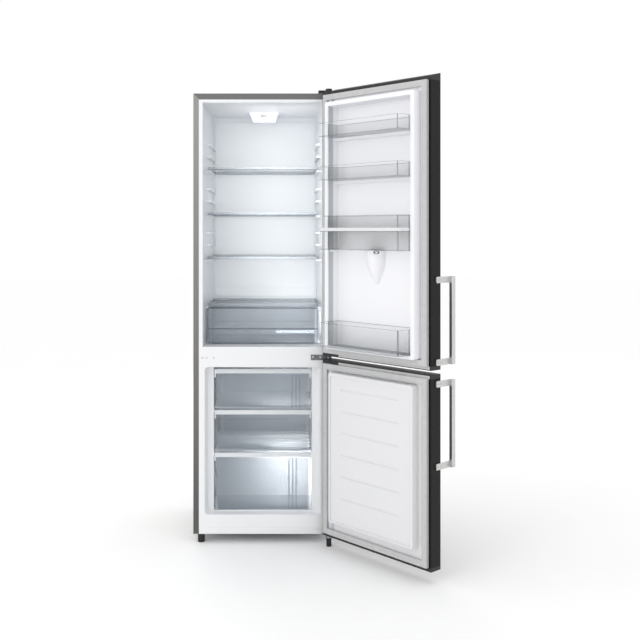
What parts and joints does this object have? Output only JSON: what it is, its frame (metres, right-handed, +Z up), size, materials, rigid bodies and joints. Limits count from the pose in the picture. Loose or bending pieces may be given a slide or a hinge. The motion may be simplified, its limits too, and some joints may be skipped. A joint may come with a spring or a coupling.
{
  "type": "bottom freezer refrigerator",
  "caption": "Tall two-door refrigerator with a freezer below, both doors open, showing glass shelves, drawers, door bins and a water tank.",
  "frame": {"origin": "centre of the cabinet's footprint at floor level", "axes": "+Z up, +Y towards the rear wall, +X towards the hinge side; the doors face -Y when shut"},
  "size_m": [0.9715, 0.9566, 1.8],
  "materials": {
    "case_steel": "semi-gloss grey stove enamel",
    "door_steel": "gloss black stove enamel",
    "zinc_steel": "bare zinc-plated sheet",
    "white_liner": "gloss white polystyrene",
    "black_plastic": "fine matt black",
    "foam": null,
    "compressor_paint": "satin black enamel",
    "grommet_rubber": "matt",
    "copper_pipe": "copper tube, dull",
    "evaporator_aluminium": "white-lacquered tube and plate",
    "grey_plastic": "pale grey",
    "clear_plastic": "clear polystyrene, faint blue",
    "shelf_glass": "tempered float glass with clear trim",
    "hinge_steel": "dark zinc",
    "axle_steel": "bright zinc",
    "handle_metal": "brushed, satin",
    "gasket_pvc": "matt pale grey vinyl"
  },
  "bodies": {
    "cabinet": {"cabinet_wrapper": "case_steel", "rear_panel": "zinc_steel", "cabinet_foam": "foam", "fridge_liner": "white_liner", "freezer_liner": "white_liner", "mid_beam": "white_liner", "kick_plate": "white_liner", "base_plate": "zinc_steel", "compressor_bay_wall": "zinc_steel", "compressor": "compressor_paint", "compressor_mounts": "grommet_rubber", "compressor_relay_box": "black_plastic", "evaporation_tray": "black_plastic", "refrigerant_pipes": "copper_pipe", "evaporators": "evaporator_aluminium", "drain_tube": "grey_plastic", "roller_axles": "axle_steel", "top_hinge_bracket": "hinge_steel", "top_hinge_cover": "black_plastic", "middle_hinge_bracket": "hinge_steel", "lower_hinge_bracket": "axle_steel", "hinge_screws": "axle_steel", "beam_plugs": "grey_plastic", "lamp_housing": "white_liner", "lamp_lens": "clear_plastic", "wall_spacers": "black_plastic"},
    "upper_door": {"upper_door_skin": "door_steel", "upper_door_caps": "black_plastic", "upper_door_foam": "foam", "upper_door_liner": "white_liner", "upper_door_gasket": "gasket_pvc", "upper_door_handle": "handle_metal", "dispenser_housing": "black_plastic"},
    "lower_door": {"lower_door_skin": "door_steel", "lower_door_caps": "black_plastic", "lower_door_foam": "foam", "lower_door_liner": "white_liner", "lower_door_gasket": "gasket_pvc", "lower_door_handle": "handle_metal"},
    "thermostat_dial": {"thermostat_dial": "grey_plastic"},
    "left_foot": {"left_foot": "black_plastic"},
    "right_foot": {"right_foot": "black_plastic"},
    "left_roller": {"left_roller": "black_plastic"},
    "right_roller": {"right_roller": "black_plastic"},
    "shelf_top": {"shelf_top": "shelf_glass"},
    "shelf_middle": {"shelf_middle": "shelf_glass"},
    "shelf_lower": {"shelf_lower": "shelf_glass"},
    "crisper_cover": {"crisper_cover": "shelf_glass"},
    "crisper_drawer": {"crisper_drawer": "clear_plastic"},
    "freezer_drawer_top": {"freezer_drawer_top": "clear_plastic"},
    "freezer_drawer_middle": {"freezer_drawer_middle": "clear_plastic"},
    "freezer_drawer_bottom": {"freezer_drawer_bottom": "clear_plastic"},
    "door_bin_top": {"door_bin_top": "clear_plastic"},
    "door_bin_middle": {"door_bin_middle": "clear_plastic"},
    "bottle_bin": {"bottle_bin": "clear_plastic"},
    "water_tank": {"water_tank": "clear_plastic"},
    "tank_lid": {"tank_lid": "clear_plastic"},
    "tank_flap": {"tank_flap": "clear_plastic"},
    "dispenser_lever": {"dispenser_lever": "black_plastic"},
    "dispenser_valve": {"dispenser_valve": "grey_plastic"}
  },
  "joints": [
    {"name": "upper_door_hinge", "type": "hinge", "parent": "cabinet", "child": "upper_door", "pos_m": [0.262, -0.2782, 1.7853], "axis": [0, 0, 1], "range_deg": [-131.3, 0]},
    {"name": "lower_door_hinge", "type": "hinge", "parent": "cabinet", "child": "lower_door", "pos_m": [0.262, -0.2782, 0.0465], "axis": [0, 0, 1], "range_deg": [-131.3, 0]},
    {"name": "crisper_slide", "type": "slide", "parent": "cabinet", "child": "crisper_drawer", "axis": [0, -1, 0], "range_m": [0, 0.28]},
    {"name": "freezer_drawer_top_slide", "type": "slide", "parent": "cabinet", "child": "freezer_drawer_top", "axis": [0, -1, 0], "range_m": [0, 0.3]},
    {"name": "freezer_drawer_middle_slide", "type": "slide", "parent": "cabinet", "child": "freezer_drawer_middle", "axis": [0, -1, 0], "range_m": [0, 0.3]},
    {"name": "freezer_drawer_bottom_slide", "type": "slide", "parent": "cabinet", "child": "freezer_drawer_bottom", "axis": [0, -1, 0], "range_m": [0, 0.18]},
    {"name": "shelf_top_slide", "type": "slide", "parent": "cabinet", "child": "shelf_top", "axis": [0, -1, 0], "range_m": [0, 0.16]},
    {"name": "shelf_middle_slide", "type": "slide", "parent": "cabinet", "child": "shelf_middle", "axis": [0, -1, 0], "range_m": [0, 0.16]},
    {"name": "shelf_lower_slide", "type": "slide", "parent": "cabinet", "child": "shelf_lower", "axis": [0, -1, 0], "range_m": [0, 0.16]},
    {"name": "crisper_cover_slide", "type": "slide", "parent": "cabinet", "child": "crisper_cover", "axis": [0, -1, 0], "range_m": [0, 0.16]},
    {"name": "door_bin_top_lift", "type": "slide", "parent": "upper_door", "child": "door_bin_top", "axis": [0, 0, 1], "range_m": [0, 0.03]},
    {"name": "door_bin_middle_lift", "type": "slide", "parent": "upper_door", "child": "door_bin_middle", "axis": [0, 0, 1], "range_m": [0, 0.03]},
    {"name": "bottle_bin_lift", "type": "slide", "parent": "upper_door", "child": "bottle_bin", "axis": [0, 0, 1], "range_m": [0, 0.03]},
    {"name": "water_tank_lift", "type": "slide", "parent": "upper_door", "child": "water_tank", "axis": [0, 0, 1], "range_m": [0, 0.03]},
    {"name": "tank_lid_lift", "type": "slide", "parent": "water_tank", "child": "tank_lid", "axis": [0, 0, 1], "range_m": [0, 0.02]},
    {"name": "tank_flap_hinge", "type": "hinge", "parent": "tank_lid", "child": "tank_flap", "pos_m": [0.42878, -0.50971, 1.2446], "axis": [-0.66, 0.7513, 0], "range_deg": [0, 100]},
    {"name": "dispenser_lever_hinge", "type": "hinge", "parent": "upper_door", "child": "dispenser_lever", "pos_m": [0.4534, -0.4588, 1.104], "axis": [-0.66, 0.7513, 0], "range_deg": [0, 4.8], "stiffness_Nm_per_rad": 0.6, "springref_deg": -5.73},
    {"name": "dispenser_valve_slide", "type": "slide", "parent": "upper_door", "child": "dispenser_valve", "axis": [0, 0, 1], "range_m": [0, 0.0031]},
    {"name": "thermostat_turn", "type": "hinge", "parent": "cabinet", "child": "thermostat_dial", "pos_m": [0, 0.001, 1.721], "axis": [0, 0, 1], "range_deg": [0, 300]},
    {"name": "left_foot_turn", "type": "hinge", "parent": "cabinet", "child": "left_foot", "pos_m": [-0.245, -0.22, 0], "axis": [0, 0, 1], "continuous": true},
    {"name": "right_foot_turn", "type": "hinge", "parent": "cabinet", "child": "right_foot", "pos_m": [0.262, -0.2782, 0], "axis": [0, 0, 1], "continuous": true},
    {"name": "left_roller_spin", "type": "hinge", "parent": "cabinet", "child": "left_roller", "pos_m": [-0.215, 0.215, 0.016], "axis": [1, 0, 0], "continuous": true},
    {"name": "right_roller_spin", "type": "hinge", "parent": "cabinet", "child": "right_roller", "pos_m": [0.215, 0.215, 0.016], "axis": [1, 0, 0], "continuous": true}
  ],
  "couplings": [
    {"joint": "dispenser_lever_hinge", "follows": "dispenser_valve_slide", "rad_per_m": 26.596}
  ]
}
